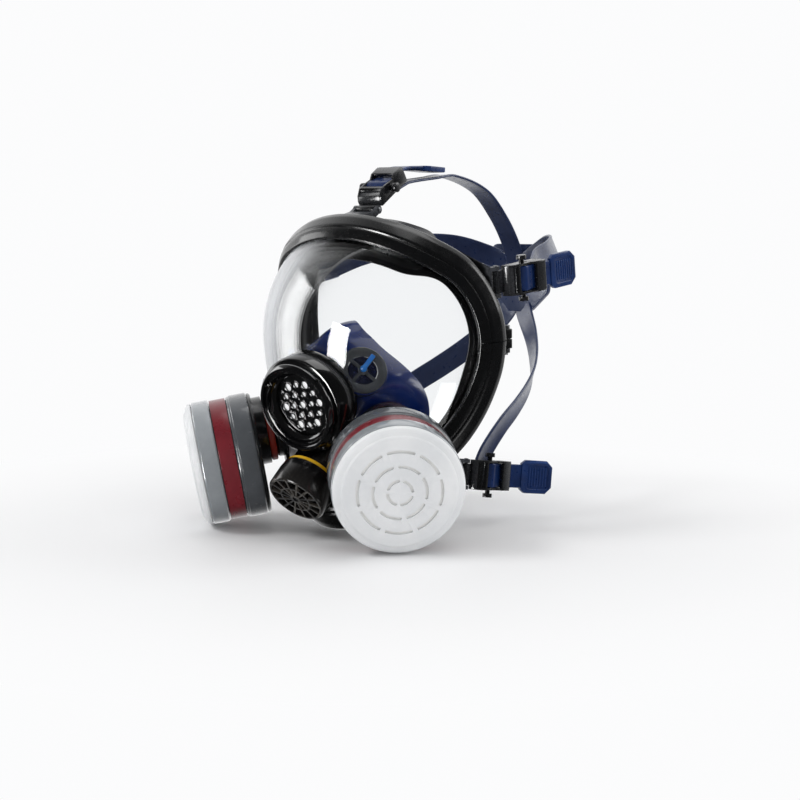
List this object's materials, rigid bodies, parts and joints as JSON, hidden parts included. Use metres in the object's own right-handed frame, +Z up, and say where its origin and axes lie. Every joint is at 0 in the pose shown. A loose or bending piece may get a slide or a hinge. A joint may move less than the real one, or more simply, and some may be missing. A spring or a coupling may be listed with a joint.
{
  "type": "full-face respirator",
  "caption": "Full-face respirator with a clear wrap-round lens, rubber face seal, nose cup, speech diaphragm, exhale valve, twin bayonet filters and a buckled head harness.",
  "frame": {"origin": "mid-plane of the face at the height and depth of the wearer's pupils", "axes": "+Z up, -Y out of the lens (the way the wearer looks), +X to the wearer's left"},
  "size_m": [0.2416, 0.2992, 0.2522],
  "materials": {
    "lens_clear": "clear moulded polycarbonate, glossy",
    "frame_black": "fine-textured black moulding",
    "steel": "plated",
    "seal_rubber": "soft satin black rubber",
    "voice_black": "glossy black moulding",
    "diaphragm_film": "bright metallised film",
    "valve_black": "satin black moulding",
    "valve_rubber": "thin moulded rubber",
    "yellow_ring": "yellow moulding",
    "gasket_red": "red-orange silicone",
    "navy_rubber": "navy silicone, satin",
    "seat_grey": "smoky translucent grey",
    "stem_blue": "light blue silicone",
    "strap_navy": "navy rubber strap, ribbed",
    "buckle_black": "black moulding, slightly glossy",
    "filter_black": "black moulding",
    "filter_grey": "blue-grey glossy shell",
    "band_maroon": "maroon glossy band, plain",
    "carbon": "granular carbon bed",
    "ring_pale": "pale translucent ring",
    "pad_white": "felted cotton",
    "cap_white": "white moulding"
  },
  "bodies": {
    "root": {"buckle_pins": "steel", "check_seat_left": "seat_grey", "check_seat_right": "seat_grey", "exhale_nut": "valve_black", "exhale_ring": "yellow_ring", "exhale_seat": "valve_black", "face_seal": "seal_rubber", "frame_lower": "frame_black", "frame_nuts": "steel", "frame_screws": "steel", "frame_upper": "frame_black", "harness": "strap_navy", "lens": "lens_clear", "nose_cup": "navy_rubber", "port_gaskets": "gasket_red", "port_left": "valve_black", "port_nuts": "valve_black", "port_right": "valve_black", "strap_lugs": "frame_black", "voicemitter_clamp": "voice_black", "voicemitter_diaphragm": "diaphragm_film", "voicemitter_gasket": "seal_rubber", "voicemitter_grille": "voice_black", "voicemitter_housing": "voice_black", "voicemitter_retainer": "voice_black"},
    "buckle_top": {"buckle_top": "buckle_black"},
    "roller_top": {"roller_top": "buckle_black", "strap_top": "strap_navy"},
    "buckle_temple_left": {"buckle_temple_left": "buckle_black"},
    "roller_temple_left": {"roller_temple_left": "buckle_black", "strap_temple_left": "strap_navy"},
    "buckle_temple_right": {"buckle_temple_right": "buckle_black"},
    "roller_temple_right": {"roller_temple_right": "buckle_black", "strap_temple_right": "strap_navy"},
    "buckle_cheek_left": {"buckle_cheek_left": "buckle_black"},
    "roller_cheek_left": {"roller_cheek_left": "buckle_black", "strap_cheek_left": "strap_navy"},
    "buckle_cheek_right": {"buckle_cheek_right": "buckle_black"},
    "roller_cheek_right": {"roller_cheek_right": "buckle_black", "strap_cheek_right": "strap_navy"},
    "filter_left": {"filter_base_left": "filter_black", "filter_drum_left": "filter_grey", "filter_band_left": "band_maroon", "carbon_bed_left": "carbon", "filter_ring_left": "ring_pale", "prefilter_pad_left": "pad_white"},
    "cap_left": {"prefilter_cap_left": "cap_white"},
    "inhale_disc_left": {"inhale_disc_left": "valve_rubber"},
    "check_valve_left": {"check_valve_left": "stem_blue"},
    "filter_right": {"filter_base_right": "filter_black", "filter_drum_right": "filter_grey", "filter_band_right": "band_maroon", "carbon_bed_right": "carbon", "filter_ring_right": "ring_pale", "prefilter_pad_right": "pad_white"},
    "cap_right": {"prefilter_cap_right": "cap_white"},
    "inhale_disc_right": {"inhale_disc_right": "valve_rubber"},
    "check_valve_right": {"check_valve_right": "stem_blue"},
    "exhale_cover": {"exhale_cover": "valve_black"},
    "exhale_disc": {"exhale_disc": "valve_rubber"}
  },
  "joints": [
    {"name": "buckle_hinge_top", "type": "hinge", "parent": "root", "child": "buckle_top", "pos_m": [0, -0.001, 0.0775], "axis": [1, 0, 0], "range_deg": [0, 30]},
    {"name": "roller_slide_top", "type": "slide", "parent": "buckle_top", "child": "roller_top", "axis": [0, 0.8412, 0.5408], "range_m": [0, 0.003]},
    {"name": "buckle_hinge_temple_left", "type": "hinge", "parent": "root", "child": "buckle_temple_left", "pos_m": [0.09, 0.0275, 0.0285], "axis": [0, 0.1322, -0.9912], "range_deg": [0, 30]},
    {"name": "roller_slide_temple_left", "type": "slide", "parent": "buckle_temple_left", "child": "roller_temple_left", "axis": [0.1703, 0.9767, 0.1302], "range_m": [0, 0.003]},
    {"name": "buckle_hinge_temple_right", "type": "hinge", "parent": "root", "child": "buckle_temple_right", "pos_m": [-0.09, 0.0275, 0.0285], "axis": [0, -0.1322, 0.9912], "range_deg": [0, 30]},
    {"name": "roller_slide_temple_right", "type": "slide", "parent": "buckle_temple_right", "child": "roller_temple_right", "axis": [-0.1703, 0.9767, 0.1302], "range_m": [0, 0.003]},
    {"name": "buckle_hinge_cheek_left", "type": "hinge", "parent": "root", "child": "buckle_cheek_left", "pos_m": [0.0605, 0.033, -0.1075], "axis": [0, -0.1308, -0.9914], "range_deg": [0, 30]},
    {"name": "roller_slide_cheek_left", "type": "slide", "parent": "buckle_cheek_left", "child": "roller_cheek_left", "axis": [0.0603, 0.9896, -0.1306], "range_m": [0, 0.003]},
    {"name": "buckle_hinge_cheek_right", "type": "hinge", "parent": "root", "child": "buckle_cheek_right", "pos_m": [-0.0605, 0.033, -0.1075], "axis": [0, 0.1308, 0.9914], "range_deg": [0, 30]},
    {"name": "roller_slide_cheek_right", "type": "slide", "parent": "buckle_cheek_right", "child": "roller_cheek_right", "axis": [-0.0603, 0.9896, -0.1306], "range_m": [0, 0.003]},
    {"name": "filter_twist_left", "type": "hinge", "parent": "root", "child": "filter_left", "pos_m": [0.0609, -0.05042, -0.07824], "axis": [0.6905, -0.7005, -0.1801], "range_deg": [0, 30]},
    {"name": "cap_pull_left", "type": "slide", "parent": "filter_left", "child": "cap_left", "axis": [0.6905, -0.7005, -0.1801], "range_m": [0, 0.015]},
    {"name": "inhale_lift_left", "type": "slide", "parent": "root", "child": "inhale_disc_left", "axis": [-0.6905, 0.7005, 0.1801], "range_m": [0, 0.0015]},
    {"name": "check_lift_left", "type": "slide", "parent": "root", "child": "check_valve_left", "axis": [-0.6989, 0.5673, -0.4356], "range_m": [0, 0.0009]},
    {"name": "filter_twist_right", "type": "hinge", "parent": "root", "child": "filter_right", "pos_m": [-0.0609, -0.05042, -0.07824], "axis": [-0.6905, -0.7005, -0.1801], "range_deg": [0, 30]},
    {"name": "cap_pull_right", "type": "slide", "parent": "filter_right", "child": "cap_right", "axis": [-0.6905, -0.7005, -0.1801], "range_m": [0, 0.015]},
    {"name": "inhale_lift_right", "type": "slide", "parent": "root", "child": "inhale_disc_right", "axis": [0.6905, 0.7005, 0.1801], "range_m": [0, 0.0015]},
    {"name": "check_lift_right", "type": "slide", "parent": "root", "child": "check_valve_right", "axis": [0.6989, 0.5673, -0.4356], "range_m": [0, 0.0009]},
    {"name": "exhale_cover_pull", "type": "slide", "parent": "root", "child": "exhale_cover", "axis": [0, -0.7559, -0.6547], "range_m": [0, 0.012]},
    {"name": "exhale_lift", "type": "slide", "parent": "root", "child": "exhale_disc", "axis": [0, -0.7559, -0.6547], "range_m": [0, 0.0025]}
  ]
}
